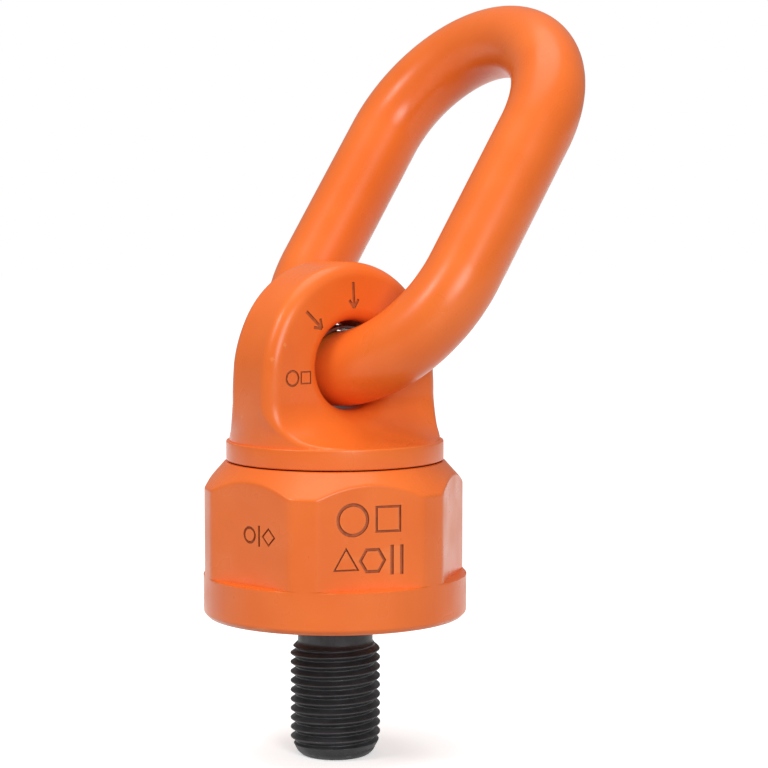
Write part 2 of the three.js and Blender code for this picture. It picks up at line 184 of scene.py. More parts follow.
class HoistRingSettings(bpy.types.PropertyGroup):
    housing: PointerProperty(type=HousingSizes)
    bearing: PointerProperty(type=BearingSizes)
    head: PointerProperty(type=HeadSizes)
    link: PointerProperty(type=LinkSizes)
    stud: PointerProperty(type=StudSizes)
    colours: PointerProperty(type=FinishColours)


def settings():
    return bpy.context.scene.hoist_ring


# ---- Finishes ---------------------------------------------------------------------------------


def add_node(tree, kind, inputs=(), **options):
    """Adds a node, sets its options, and links or sets the inputs given as (socket, value)."""
    made = tree.nodes.new(kind)
    for name, value in options.items():
        setattr(made, name, value)
    for key, value in inputs:
        if isinstance(value, bpy.types.NodeSocket):
            tree.links.new(value, made.inputs[key])
        else:
            made.inputs[key].default_value = value
    return made


def finish_base(name):
    """A new finish: its tree, the piece's own coordinates, and a function that adds nodes."""
    material = bpy.data.materials.new(name)
    material.use_nodes = True
    tree = material.node_tree
    tree.nodes.clear()
    place = add_node(tree, "ShaderNodeTexCoord").outputs["Object"]
    return material, tree, place


def noise(tree, place, size_mm, detail=2.0, roughness=0.5):
    """Noise whose blotches are about size_mm across."""
    pattern = [("Scale", 1 / (size_mm * MM)), ("Detail", detail), ("Roughness", roughness)]
    return add_node(tree, "ShaderNodeTexNoise", [("Vector", place), *pattern]).outputs["Fac"]


def spread(tree, value, low, high, start=0.35, end=0.65):
    """Stretches a noise's middle range to run from low to high."""
    given = [("From Min", start), ("From Max", end), ("To Min", low), ("To Max", high)]
    return add_node(tree, "ShaderNodeMapRange", [("Value", value), *given]).outputs["Result"]


def blend_colours(tree, share, first, second):
    first, second = [c if isinstance(c, bpy.types.NodeSocket) else (*c, 1) for c in (first, second)]
    return add_node(
        tree, "ShaderNodeMix", [(0, share), (6, first), (7, second)], data_type="RGBA"
    ).outputs[2]


def relief(tree, height, depth_mm, strength=1.0, under=None):
    inputs = [("Height", height), ("Distance", depth_mm * MM), ("Strength", strength)]
    if under is not None:
        inputs.append(("Normal", under))
    return add_node(tree, "ShaderNodeBump", inputs).outputs["Normal"]


def surface(tree, inputs):
    shader = add_node(tree, "ShaderNodeBsdfPrincipled", inputs)
    add_node(tree, "ShaderNodeOutputMaterial", [("Surface", shader.outputs["BSDF"])])


def edges(tree, low, high):
    """0 on flat areas, 1 on outside edges."""
    point = add_node(tree, "ShaderNodeNewGeometry").outputs["Pointiness"]
    return spread(tree, point, 0.0, 1.0, low, high)


def orange_powder_coat(colours):
    # Sprayed and baked coat: slow drift of colour, fine orange-peel ripple, paler on edges as
    # painted highlight and thinner coat
    material, tree, place = finish_base("orange_powder_coat")
    drift = spread(tree, noise(tree, place, 17.0), 0.0, 0.55)
    coat = blend_colours(tree, drift, colours.orange, colours.orange_deep)
    # Painted highlight: edges found by pointiness are paled towards the thin-coat colour
    thin_coat_and_highlight = add_node(
        tree, "ShaderNodeMath", [(0, edges(tree, 0.53, 0.62)), (1, 0.45)], operation="MULTIPLY"
    ).outputs[0]
    coat = blend_colours(tree, thin_coat_and_highlight, coat, colours.orange_thin_and_highlight)
    peel = relief(tree, noise(tree, place, 1.3, 1.0), 0.02, 0.5)
    speck = relief(tree, noise(tree, place, 0.35, 0.0), 0.004, 0.4, peel)
    gloss = spread(tree, noise(tree, place, 9.0), 0.27, 0.35)
    look = [("Base Color", coat), ("Roughness", gloss), ("Specular IOR Level", 0.35)]
    surface(tree, look + [("Normal", speck)])
    return material


def black_oxide(colours):
    # Blackened steel: oily satin, rubbed grey on thread crests and edges, fine pitting
    material, tree, place = finish_base("black_oxide")
    blotch = spread(tree, noise(tree, place, 5.0, 4.0), 0.0, 0.35)
    rubbed = add_node(
        tree, "ShaderNodeMath", [(0, edges(tree, 0.52, 0.6)), (1, blotch)], operation="MAXIMUM"
    ).outputs[0]
    black = blend_colours(tree, rubbed, colours.oxide, colours.oxide_worn)
    pits = relief(tree, noise(tree, place, 0.4, 3.0), 0.01, 0.5)
    sheen = spread(tree, noise(tree, place, 3.0), 0.4, 0.56)
    surface(
        tree,
        [("Base Color", black), ("Metallic", 0.25), ("Roughness", sheen), ("Normal", pits)],
    )
    return material


def ground_steel(colours):
    # Ground and lapped steel: bright, with faint oil film and hair-fine marks
    material, tree, place = finish_base("ground_bearing_steel")
    film = spread(tree, noise(tree, place, 2.5), 0.0, 0.3)
    bright = blend_colours(tree, film, colours.steel, colours.spring)
    marks = relief(tree, noise(tree, place, 0.3, 2.0), 0.002, 0.4)
    polish = spread(tree, noise(tree, place, 1.5), 0.1, 0.22)
    surface(
        tree, [("Base Color", bright), ("Metallic", 1.0), ("Roughness", polish), ("Normal", marks)]
    )
    return material


def stretched(tree, place, along_mm, across_mm):
    """Noise drawn out along X, as rolling and drawing leave it."""
    ratio = across_mm / along_mm
    drawn = add_node(tree, "ShaderNodeMapping", [("Vector", place), ("Scale", (ratio, 1, ratio))])
    return noise(tree, drawn.outputs["Vector"], across_mm, 2.0)


def spring_strip(colours):
    # Tempered strip: blue-grey with long rolling streaks along its length
    material, tree, place = finish_base("tempered_spring_strip")
    streak = stretched(tree, place, 6.0, 0.5)
    grey = blend_colours(tree, spread(tree, streak, 0.0, 0.6), colours.spring, colours.steel)
    rolled = relief(tree, streak, 0.008, 0.6)
    sheen = spread(tree, noise(tree, place, 1.2), 0.26, 0.4)
    surface(
        tree, [("Base Color", grey), ("Metallic", 1.0), ("Roughness", sheen), ("Normal", rolled)]
    )
    return material


def turned_brass(colours):
    # Turned brass: fine concentric tool marks and a little tarnish
    material, tree, place = finish_base("turned_brass")
    rings = add_node(
        tree,
        "ShaderNodeTexWave",
        [("Vector", place), ("Scale", 600.0), ("Distortion", 0.6), ("Detail", 1.0)],
        wave_type="RINGS",
        rings_direction="Z",
    ).outputs["Fac"]
    tarnish = spread(tree, noise(tree, place, 4.0), 0.0, 0.4)
    tint = blend_colours(tree, tarnish, colours.brass, colours.oxide_worn)
    marks = relief(tree, rings, 0.006, 0.5)
    sheen = spread(tree, noise(tree, place, 1.8), 0.22, 0.38)
    surface(
        tree, [("Base Color", tint), ("Metallic", 1.0), ("Roughness", sheen), ("Normal", marks)]
    )
    return material


def seal_rubber(colours):
    # Moulded rubber: matt black with grey bloom and a faint grain
    material, tree, place = finish_base("moulded_seal_rubber")
    bloom = spread(tree, noise(tree, place, 3.0), 0.0, 0.3)
    black = blend_colours(tree, bloom, colours.rubber, colours.oxide_worn)
    grain = relief(tree, noise(tree, place, 0.3), 0.01, 0.6)
    dull = spread(tree, noise(tree, place, 1.0), 0.62, 0.8)
    surface(tree, [("Base Color", black), ("Roughness", dull), ("Normal", grain)])
    return material


def groove_shade_coat(colours):
    # Coat in the stamped grooves: darker and duller as painted shade, with random dusty patches
    material, tree, place = finish_base("orange_coat_in_grooves")
    dust = spread(tree, noise(tree, place, 1.5), 0.0, 0.8)
    # Both groove colours are painted shade; the noise only mixes them at random
    coat = blend_colours(tree, dust, colours.groove, colours.groove_dust_and_shade)
    grain = relief(tree, noise(tree, place, 0.3), 0.01, 0.5)
    dull = spread(tree, noise(tree, place, 1.0), 0.45, 0.65)
    surface(tree, [("Base Color", coat), ("Roughness", dull), ("Normal", grain)])
    return material


MAKERS = {
    "orange_powder_coat": orange_powder_coat,
    # The groove finish is painted shade in the stamped marks
    "orange_coat_in_grooves": groove_shade_coat,
    "black_oxide_steel": black_oxide,
    "bearing_steel": ground_steel,
    "spring_steel": spring_strip,
    "brass": turned_brass,
    "black_rubber": seal_rubber,
}
made_finishes = {}


def finish_for(slot):
    """The finish that stands for one of the record's material slots, made once."""
    if slot not in made_finishes:
        made_finishes[slot] = MAKERS[slot](settings().colours)
    return made_finishes[slot]


# ---- Shapes in millimetres ----------------------------------------------------------------------


def loft(rings, closed=False):
    """Vertices and faces of a skin over equal rings of points, (count, points, 3)."""
    rings = np.asarray(rings, float)
    count, size = rings.shape[:2]
    index = np.arange(count * size).reshape(count, size)
    lanes = index if closed else index[:-1]
    following = np.roll(index, -1, 0) if closed else index[1:]
    quads = np.stack(
        [lanes, np.roll(lanes, -1, 1), np.roll(following, -1, 1), following], -1
    ).reshape(-1, 4)
    faces = quads.tolist()
    if not closed:
        faces += [index[0].tolist(), index[-1].tolist()]
    return rings.reshape(-1, 3), faces


def mesh_object(name, points, faces, slot=None, smooth=35.0):
    """A welded mesh with outward faces, from points in mm."""
    mesh = bpy.data.meshes.new(name)
    mesh.from_pydata((np.asarray(points) * MM).tolist(), [], faces)
    work = bmesh.new()
    work.from_mesh(mesh)
    bmesh.ops.remove_doubles(work, verts=work.verts, dist=1e-7)
    loose = [edge for edge in work.edges if not edge.link_faces]
    bmesh.ops.delete(work, geom=loose, context="EDGES")
    bmesh.ops.recalc_face_normals(work, faces=work.faces)
    work.to_mesh(mesh)
    work.free()
    made = bpy.data.objects.new(name, mesh)
    bpy.context.scene.collection.objects.link(made)
    if slot:
        mesh.materials.append(finish_for(slot))
        shade(made, smooth)
    return made


def shade(made, smooth=35.0):
    made.data.shade_smooth()
    made.data.set_sharp_from_angle(angle=math.radians(smooth))


def joined(*parts):
    """Several (points, faces) as one."""
    points, faces, start = [], [], 0
    for part_points, part_faces in parts:
        points.append(part_points)
        faces += [[i + start for i in face] for face in part_faces]
        start += len(part_points)
    return np.concatenate(points), faces


def rounded(profile, radius, steps=4):
    """A closed [radius, height] outline with its corners rounded off."""
    points = np.asarray(profile, float)
    result = []
    for before, corner, after in zip(np.roll(points, 1, 0), points, np.roll(points, -1, 0)):
        legs = [before - corner, after - corner]
        sizes = [np.linalg.norm(leg) for leg in legs]
        if corner[0] < 1e-6 or min(sizes) < 1e-6:
            result.append(corner)
            continue
        reach = min(radius, *(0.45 * size for size in sizes))
        start, end = [corner + leg / size * reach for leg, size in zip(legs, sizes)]
        for t in np.linspace(0, 1, steps):
            result.append((1 - t) ** 2 * start + 2 * t * (1 - t) * corner + t**2 * end)
    return np.array(result)


def turned(profile, segments, centre=(0, 0, 0)):
    """A closed [radius, height] outline turned about Z."""
    profile = np.asarray(profile, float)
    angles = np.linspace(0, TAU, segments, endpoint=False)[:, None]
    r, h = profile[:, 0], profile[:, 1]
    lanes = np.stack([np.cos(angles) * r, np.sin(angles) * r, np.tile(h, (segments, 1))], -1)
    return loft(lanes + np.array(centre), closed=True)


def arc(centre, radius, start, end, steps):
    angles = np.linspace(start, end, steps + 1)
    return [
        (centre[0] + radius * math.cos(a), centre[1] + radius * math.sin(a)) for a in angles
    ]


def carve(made, tools, operation="DIFFERENCE", finish_of="INDEX"):
    """Cuts the tools out of a piece, or joins them to it, and throws the tools away."""
    for tool in tools:
        step = made.modifiers.new("carve", "BOOLEAN")
        step.operation, step.solver, step.object = operation, "MANIFOLD", tool
        step.material_mode = finish_of
    settle(made)
    for tool in tools:
        bpy.data.objects.remove(tool)
    return made


def settle(made):
    """Turns the piece's modifiers into a plain mesh."""
    graph = bpy.context.evaluated_depsgraph_get()
    plain = bpy.data.meshes.new_from_object(made.evaluated_get(graph))
    if not plain.polygons:
        raise RuntimeError(f"{made.name} has no faces left after its modifiers")
    made.modifiers.clear()
    made.data = plain
    return made


def place_piece(made, body, slot, *nodes):
    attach(made, body)
    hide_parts(*nodes)
    return made


# ---- Engraved marks ---------------------------------------------------------------------------


def ribbon(path, width, depth, proud=0.6, closed=False):
    """A groove cutter along a flat path: points (along, up, out), out being off the face."""
    path = np.asarray(path, float)
    if closed:
        along = np.roll(path, -1, 0) - np.roll(path, 1, 0)
    else:
        along = np.gradient(path, axis=0)
    along /= np.linalg.norm(along, axis=1)[:, None]
    side = np.stack([-along[:, 1], along[:, 0]], -1) * width / 2
    rings = []
    for point, offset in zip(path, side):
        left, right = point - offset, point + offset
        rings.append(
            [(*left, -depth), (*right, -depth), (*right, proud), (*left, proud)]
        )
    return loft(rings, closed)


def ring_path(centre, radius, sides=28, turn=0.0):
    angles = np.linspace(0, TAU, sides, endpoint=False) + turn
    return np.stack([centre[0] + radius * np.cos(angles), centre[1] + radius * np.sin(angles)], -1)


def on_face(marks, origin, along, out):
    """Marks laid on a face: origin in mm, its horizontal direction and its outward normal."""
    points, faces = joined(*marks)
    frame_axes = np.array([along, (0, 0, 1), out], float)
    placed = points @ frame_axes + np.array(origin)
    # The cutter's finish, painted shade, passes to the groove faces it cuts
    return mesh_object("groove_tool", placed, faces, "orange_coat_in_grooves")


# ---- Housing ----------------------------------------------------------------------------------


def soft_minimum(a, b, radius):
    """The smaller of two distances, with a rounding where they cross."""
    blend = np.clip(0.5 + 0.5 * (b - a) / radius, 0, 1)
    return b * (1 - blend) + a * blend - radius * blend * (1 - blend)


def close_lines(profile, step, low, high):
    """Adds points to an outline where its height lies between low and high."""
    result = [profile[0]]
    for before, after in zip(profile[:-1], profile[1:]):
        parts = 1
        if max(before[1], after[1]) > low and min(before[1], after[1]) < high:
            parts = max(1, int(np.linalg.norm(after - before) / step))
        result += [before + (after - before) * (i + 1) / parts for i in range(parts)]
    return np.array(result)


def housing_outline(sizes, bearing):
    """Outer outline from the edge of the seat face up to the mouth of the seal's groove."""
    outer = rounded(
        [
            (sizes.radius - 4, -4),
            (sizes.radius - sizes.edge, 0),
            (sizes.radius, sizes.edge),
            (sizes.radius, sizes.shoulder),
            (sizes.top_radius, sizes.top),
            (bearing.seal + bearing.seal_wire + RUNNING_GAP, sizes.top),
        ],
        sizes.softness,
    )
    outer = outer[(outer[:, 1] > -0.01) & (outer[:, 0] > bearing.seal + 1)]
    outer = outer[1:] if outer[0][1] > outer[1][1] else outer
    return outer


def housing_bore(sizes, bearing, hole):
    race = bearing.upper_ball + RUNNING_GAP
    low = math.asin((bearing.recess_floor - bearing.upper_height) / race)
    groove = bearing.lock_ball + RUNNING_GAP
    side = math.acos((sizes.bore - bearing.lock_pitch) / groove)
    ledge = bearing.upper_height - RUNNING_GAP
    wall = bearing.seal + bearing.seal_wire + RUNNING_GAP
    return [
        (wall, sizes.top),
        (wall, ledge),
        (bearing.recess, ledge),
        (bearing.recess, bearing.recess_floor),
        *arc((bearing.upper_pitch, bearing.upper_height), race, low, -math.pi - low, HIDDEN_STEPS),
        (sizes.bore, bearing.recess_floor),
        *arc((bearing.lock_pitch, bearing.lock_height), groove, side, -side, 2 * HIDDEN_STEPS),
        (sizes.bore, sizes.floor),
        (hole, sizes.floor),
        (hole, 0),
    ]


def housing_shell(sizes, bearing, hole):
    """The housing as rings round Z whose columns follow the edges of the six flats."""
    outline = close_lines(housing_outline(sizes, bearing), 0.3, sizes.flat_foot - 0.6, sizes.top)
    seat = [(sizes.radius - sizes.edge - sizes.softness, 0)]
    r, z = np.concatenate([seat, outline]).T
    half = sizes.across_flats / 2
    flat = np.where(z > sizes.flat_foot, half, sizes.radius + 1)
    edge = np.arccos(np.clip(flat / r, -1, 1))
    edge = np.maximum(edge, math.radians(0.6))
    inside = np.array([0, 0.2, 0.4, 0.6, 0.75, 0.86, 0.93, 0.97, 1.0])
    outside = np.array([0.03, 0.07, 0.14, 0.25, 0.36, 0.48, 0.6, 0.73, 0.86, 1.0])
    sector = math.pi / 6
    positive = np.concatenate(
        [inside * edge[:, None], edge[:, None] + outside * (sector - edge[:, None])], 1
    )
    columns = np.concatenate([-positive[:, :0:-1], positive], 1)[:, 1:]
    radius = soft_minimum(r[:, None], flat[:, None] / np.cos(columns), sizes.softness)
    around = [columns + sizes.flat_turn + i * 2 * sector for i in range(6)]
    angles = np.concatenate(around, 1)
    radius = np.tile(radius, (1, 6))
    heights = np.tile(z[:, None], angles.shape[1])
    outer = np.stack([radius * np.cos(angles), radius * np.sin(angles), heights], -1)
    inner = np.array(housing_bore(sizes, bearing, hole))
    inner_angles = angles[-1]
    inner_rings = np.stack(
        [
            inner[:, :1] * np.cos(inner_angles),
            inner[:, :1] * np.sin(inner_angles),
            np.tile(inner[:, 1:], len(inner_angles)),
        ],
        -1,
    )
    rings = np.concatenate([outer, inner_rings]).transpose(1, 0, 2)
    return loft(rings, closed=True)


def drilling(radius, low, high, x, y):
    profile = [(0, low), (radius, low), (radius, high), (0, high)]
    return mesh_object("drill", *turned(profile, 48, (x, y, 0)))


def cross_drilling(radius, start, end, turn, height, segments=48):
    """A round tool lying along the direction `turn`, from start to end."""
    circle = ring_path((0, 0), radius, segments)
    out = np.array([math.cos(turn), math.sin(turn), 0])
    side = np.array([-out[1], out[0], 0])
    rings = [[out * at + side * a + (0, 0, height + b) for a, b in circle] for at in (start, end)]
    return mesh_object("cross_drill", *loft(rings))


def flat_marks(sizes):
    """Plain marks: ring and square over three simple shapes, and a small ring, bar and diamond."""
    front = [
        ribbon(ring_path((-4.8, 29.2), 3.9), 0.9, 0.8, closed=True),
        ribbon(ring_path((4.6, 29.2), 4.4, 4, math.pi / 4), 0.9, 0.8, closed=True),
        ribbon(ring_path((-6.6, 18.3), 3.6, 3, math.pi / 2), 0.9, 0.8, closed=True),
        ribbon(ring_path((0.4, 18.7), 3.2, 6), 0.9, 0.8, closed=True),
        ribbon([(5.6, 14.9), (5.6, 22.5)], 0.9, 0.8),
        ribbon([(8.2, 14.9), (8.2, 22.5)], 0.9, 0.8),
    ]
    small = [
        ribbon(ring_path((0.2, 24.3), 1.9, 24), 0.7, 0.6, closed=True),
        ribbon([(3.6, 21.6), (3.6, 27.0)], 0.7, 0.6),
        ribbon(ring_path((7.0, 24.3), 2.1, 4), 0.7, 0.6, closed=True),
    ]
    half = sizes.across_flats / 2
    tools = []
    for marks, flat in ((front, 4), (small, 3)):
        turn = sizes.flat_turn + flat * math.pi / 3
        out = np.array([math.cos(turn), math.sin(turn), 0])
        along = np.array([-out[1], out[0], 0])
        tools.append(on_face(marks, out * half, along, out))
    return tools


def dowel_places():
    """Centres of the two dowels, from their CAD nodes, in mm."""
    boxes = [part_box(f"stud_dowel_{i}") for i in (1, 2)]
    return [((low + high) / 2 / MM, low.z / MM, high.z / MM) for low, high in boxes]


def pin_place():
    low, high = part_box("plug_lock_pin")
    centre = (low + high) / 2 / MM
    return centre.x, centre.y, low.z / MM, high.z / MM


PIN_RADIUS = 1.5
DOWEL_RADIUS = 1.9
PLUG_RADIUS = 4.85
PLUG_REACH = (24.3, 31.5)
PLUG_FLAT = 1  # the flat that carries the filler plug, counted from the first
PIN_EDGE = 0.35
PLUG_EDGE = 0.6
SOCKET_RADIUS = 2.9  # over the corners of the plug's hexagon socket
SOCKET_DEPTH = 2
PAST_FACE = 1  # how far a cutter runs past the face it opens


class HOIST_OT_housing(bpy.types.Operator):
    """Builds the bearing housing with its six wrench flats"""

    bl_idname = "hoist.housing"
    bl_label = "Bearing Housing"

    def execute(self, context):
        sizes, bearing, stud = settings().housing, settings().bearing, settings().stud
        shell = housing_shell(sizes, bearing, stud.major + RUNNING_GAP)
        made = mesh_object("bearing_housing_coated", *shell, "orange_powder_coat")
        turn = sizes.flat_turn + PLUG_FLAT * math.pi / 3
        carve(made, flat_marks(sizes), finish_of="TRANSFER")
        bore, end = PLUG_RADIUS + RUNNING_GAP, sizes.radius + 2 * PAST_FACE
        tools = [cross_drilling(bore, bearing.lock_pitch, end, turn, bearing.lock_height)]
        x, y, _, top = pin_place()
        tools.append(drilling(PIN_RADIUS + RUNNING_GAP, -PAST_FACE, top + RUNNING_GAP, x, y))
        bore, end = DOWEL_RADIUS + RUNNING_GAP, sizes.floor + PAST_FACE
        for centre, low, _ in dowel_places():
            tools.append(drilling(bore, low - RUNNING_GAP, end, centre.x, centre.y))
        carve(made, tools)
        shade(made)
        place_piece(made, "base", "orange_powder_coat", "bearing_housing")
        return {"FINISHED"}


# ---- Small fasteners and seal -------------------------------------------------------------------


def pin_body(radius, low, high, x, y):
    profile = rounded([(0, low), (radius, low), (radius, high), (0, high)], PIN_EDGE)
    return turned(profile, 40, (x, y, 0))


class HOIST_OT_fasteners(bpy.types.Operator):
    """Builds the two dowels, the filler plug and its locking pin"""

    bl_idname = "hoist.fasteners"
    bl_label = "Dowels, Plug and Pin"

    def execute(self, context):
        sizes, bearing = settings().housing, settings().bearing
        for number, (centre, low, high) in enumerate(dowel_places(), 1):
            body = pin_body(DOWEL_RADIUS, low, high, centre.x, centre.y)
            dowel = mesh_object(f"ground_dowel_{number}", *body, "bearing_steel")
            place_piece(dowel, "base", "bearing_steel", f"stud_dowel_{number}")
        x, y, low, high = pin_place()
        body = pin_body(PIN_RADIUS, low, high, x, y)
        pin = mesh_object("ground_lock_pin", *body, "bearing_steel")
        place_piece(pin, "base", "bearing_steel", "plug_lock_pin")
        self.plug(sizes, bearing)
        return {"FINISHED"}

    def plug(self, sizes, bearing):
        turn = sizes.flat_turn + PLUG_FLAT * math.pi / 3
        start, end = PLUG_REACH
        corners = [(0, start), (PLUG_RADIUS, start), (PLUG_RADIUS, end), (0, end)]
        points, faces = turned(rounded(corners, PLUG_EDGE), 64)
        out = np.array([math.cos(turn), math.sin(turn), 0])
        side = np.array([-out[1], out[0], 0])
        axes = np.array([side, (0, 0, 1), out])
        points = points @ axes + (0, 0, bearing.lock_height)
        made = mesh_object("socket_filler_plug", points, faces, "black_oxide_steel")
        x, y, low, high = pin_place()
        mouth, foot = end + PAST_FACE, end - SOCKET_DEPTH
        tools = [
            cross_drilling(SOCKET_RADIUS, foot, mouth, turn, bearing.lock_height, 6),
            drilling(PIN_RADIUS + RUNNING_GAP, low - PAST_FACE, high + RUNNING_GAP, x, y),
        ]
        carve(made, tools)
        shade(made)
        place_piece(made, "base", "black_oxide_steel", "filler_plug")


class HOIST_OT_seal(bpy.types.Operator):
    """Builds the dust seal between the collar and the housing"""

    bl_idname = "hoist.seal"
    bl_label = "Dust Seal"

    def execute(self, context):
        bearing = settings().bearing
        middle = bearing.upper_height + bearing.seal_wire
        section = arc((bearing.seal, middle), bearing.seal_wire, 0, TAU, 24)[:-1]
        made = mesh_object("moulded_dust_seal", *turned(section, 128), "black_rubber")
        place_piece(made, "base", "black_rubber", "dust_seal")
        return {"FINISHED"}


# ---- Stud ---------------------------------------------------------------------------------------


def node_group(name, inputs):
    """A geometry tree with a geometry input and output and the named number inputs."""
    tree = bpy.data.node_groups.new(name, "GeometryNodeTree")
    tree.interface.new_socket("Geometry", in_out="INPUT", socket_type="NodeSocketGeometry")
    for title, kind in inputs:
        tree.interface.new_socket(title, in_out="INPUT", socket_type=f"NodeSocket{kind}")
    tree.interface.new_socket("Geometry", in_out="OUTPUT", socket_type="NodeSocketGeometry")
    return tree, add_node(tree, "NodeGroupInput").outputs


def close_tree(tree, geometry, finish):
    """Ends a tree: realize, finish, smooth shading, output."""
    real = add_node(tree, "GeometryNodeRealizeInstances", [("Geometry", geometry)])
    smooth = add_node(tree, "GeometryNodeSetShadeSmooth", [("Geometry", real.outputs[0])])
    coat = add_node(
        tree, "GeometryNodeSetMaterial", [("Geometry", smooth.outputs[0]), ("Material", finish)]
    )
    add_node(tree, "NodeGroupOutput", [("Geometry", coat.outputs[0])])


def run_tree(made, tree, values):
    """Runs a geometry tree on a piece with its named inputs, and keeps the plain mesh."""
    step = made.modifiers.new("rule", "NODES")
    step.node_group = tree
    sockets = {s.name: s.identifier for s in tree.interface.items_tree if s.in_out == "INPUT"}
    for title, value in values.items():
        step[sockets[title]] = value
    return settle(made)


def math_node(tree, operation, first, second=0.0, third=0.0):
    inputs = [(0, first), (1, second), (2, third)]
    return add_node(tree, "ShaderNodeMath", inputs, operation=operation).outputs[0]


def thread_tree(finish):
    """Cuts a right-hand thread into a turned blank: crests stand where the phase is a half."""
    lengths = ["Pitch", "Crest start", "Root radius", "Major radius"]
    tree, given = node_group("cut_thread", [(title, "Float") for title in lengths])
    where = add_node(tree, "GeometryNodeInputPosition").outputs[0]
    x, y, z = add_node(tree, "ShaderNodeSeparateXYZ", [(0, where)]).outputs
    turn = math_node(tree, "DIVIDE", math_node(tree, "ARCTAN2", y, x), TAU)
    lift = math_node(tree, "ADD", z, given["Crest start"])
    steps = math_node(tree, "SUBTRACT", math_node(tree, "DIVIDE", lift, given["Pitch"]), turn)
    phase = math_node(tree, "FRACT", math_node(tree, "ADD", steps, 0.5))
    ridge = math_node(tree, "ABSOLUTE", math_node(tree, "MULTIPLY_ADD", phase, 2.0, -1.0))
    rise = add_node(
        tree,
        "ShaderNodeMapRange",
        [
            ("Value", ridge),
            ("From Min", 0.88),
            ("From Max", 0.1),
            ("To Min", given["Root radius"]),
            ("To Max", given["Major radius"]),
        ],
        interpolation_type="LINEAR",
    ).outputs["Result"]
    squares = [math_node(tree, "MULTIPLY", axis, axis) for axis in (x, y)]
    blank = math_node(tree, "SQRT", math_node(tree, "ADD", *squares))
    cut = math_node(tree, "SMOOTH_MIN", blank, rise, 0.00008)
    share = math_node(tree, "DIVIDE", cut, blank)
    cut_x, cut_y = [math_node(tree, "MULTIPLY", axis, share) for axis in (x, y)]
    moved = add_node(
        tree, "ShaderNodeCombineXYZ", [(0, cut_x), (1, cut_y), (2, z)]
    ).outputs[0]
    below = math_node(tree, "LESS_THAN", z, -0.0001)
    wide = math_node(tree, "GREATER_THAN", blank, 0.002)
    chosen = math_node(tree, "MULTIPLY", below, wide)
    shaped = add_node(
        tree,
        "GeometryNodeSetPosition",
        [("Geometry", given["Geometry"]), ("Selection", chosen), ("Position", moved)],
    )
    close_tree(tree, shaped.outputs[0], finish)
    return tree


def stud_blank(sizes, floor):
    """Turned blank of the stud, with close lines where the thread is cut."""
    end, neck = -sizes.length, -sizes.neck
    depth = sizes.major - sizes.neck_radius
    seat = floor + RUNNING_GAP
    top = floor + sizes.head_height + 0.5
    corners = [
        (0, end),
        (sizes.tip, end),
        (sizes.tip + 1.3, end + 1.1),
        (sizes.major, end + sizes.taper),
        (sizes.major, neck - depth),
        (sizes.neck_radius, neck),
        (sizes.neck_radius, 0),
        (sizes.major, depth),
        (sizes.major, seat),
        (sizes.head, seat),
        (sizes.head, top),
        (0, top),
    ]
    outline = rounded(corners, 0.5)
    return turned(close_lines(outline, 0.13, end, neck + 1), 144)


class HOIST_OT_stud(bpy.types.Operator):
    """Turns the stud and cuts its right-hand thread"""

    bl_idname = "hoist.stud"
    bl_label = "Threaded Stud"

    def execute(self, context):
        sizes = settings().stud
        slot = "black_oxide_steel"
        made = mesh_object("cut_threaded_stud", *stud_blank(sizes, settings().housing.floor), slot)
        run_tree(
            made,
            thread_tree(finish_for(slot)),
            {
                "Pitch": sizes.pitch * MM,
                "Crest start": sizes.crest * MM,
                "Root radius": sizes.root * MM,
                "Major radius": sizes.major * MM,
            },
        )
        tools = [
            drilling(DOWEL_RADIUS + RUNNING_GAP, low - RUNNING_GAP, 30, centre.x, centre.y)
            for centre, low, _ in dowel_places()
        ]
        carve(made, tools)
        shade(made, 50.0)
        place_piece(made, "base", slot, "threaded_stud")
        return {"FINISHED"}


# ---- Head ---------------------------------------------------------------------------------------


def round_corner(a, b, radius):
    """Distance to the shared inside of two solids, with their common edge rounded."""
    u, v = a + radius, b + radius
    return (
        np.minimum(np.maximum(u, v), 0)
        + np.hypot(np.maximum(u, 0), np.maximum(v, 0))
        - radius
    )


def face_reach(x, z, sizes):
    """How far the eye's face stands from the middle plane, sweep to the collar included."""
    drop = np.clip((sizes.collar_top + sizes.sweep - z) / sizes.sweep, 0, 1)
    flare = sizes.shank - (sizes.shank - sizes.half_thickness) * np.sqrt(1 - drop**2)
    low = shank_share(z, sizes)
    base = sizes.half_thickness - 2.3 * low
    crown = np.sqrt(1 - 0.6 * np.clip(x / sizes.shank, -1, 1) ** 2)
    return base + (flare - base) * crown


def ease(t):
    """Smooth step from 0 to 1, level at both ends."""
    t = np.clip(t, 0, 1)
    return t * t * (3 - 2 * t)


def shank_share(z, sizes):
    """0 under the hole, 1 where the shank has its full round outline."""
    return ease((sizes.eye_height - 9.5 - z) / 8)


def flank_reach(z, sizes):
    """Half width of the forging: the eye's radius high up, wider towards the collar."""
    return sizes.eye + sizes.widening * ease((sizes.eye_height + 12.5 - z) / 20)


def head_distance(x, y, z, sizes):
    """Signed distance, in mm, to the forged eye, shank and sweep."""
    wide = np.abs(x) * sizes.eye / flank_reach(z, sizes)
    above = np.hypot(wide, z - sizes.eye_height) - sizes.eye
    share = shank_share(z, sizes)
    beside = (1 - share) * (wide - sizes.eye) + share * (np.hypot(x, y) - sizes.shank)
    rim = np.where(z > sizes.eye_height, above, beside)
    rounding = sizes.rim - (sizes.rim - 1) * share
    step = 0.05
    slope = (face_reach(x, z + step, sizes) - face_reach(x, z - step, sizes)) / (2 * step)
    face = (np.abs(y) - face_reach(x, z, sizes)) / np.sqrt(1 + slope**2)
    body = round_corner(rim, face, rounding)
    hole = sizes.hole - np.hypot(x, z - sizes.eye_height)
    return round_corner(body, hole, sizes.lip)


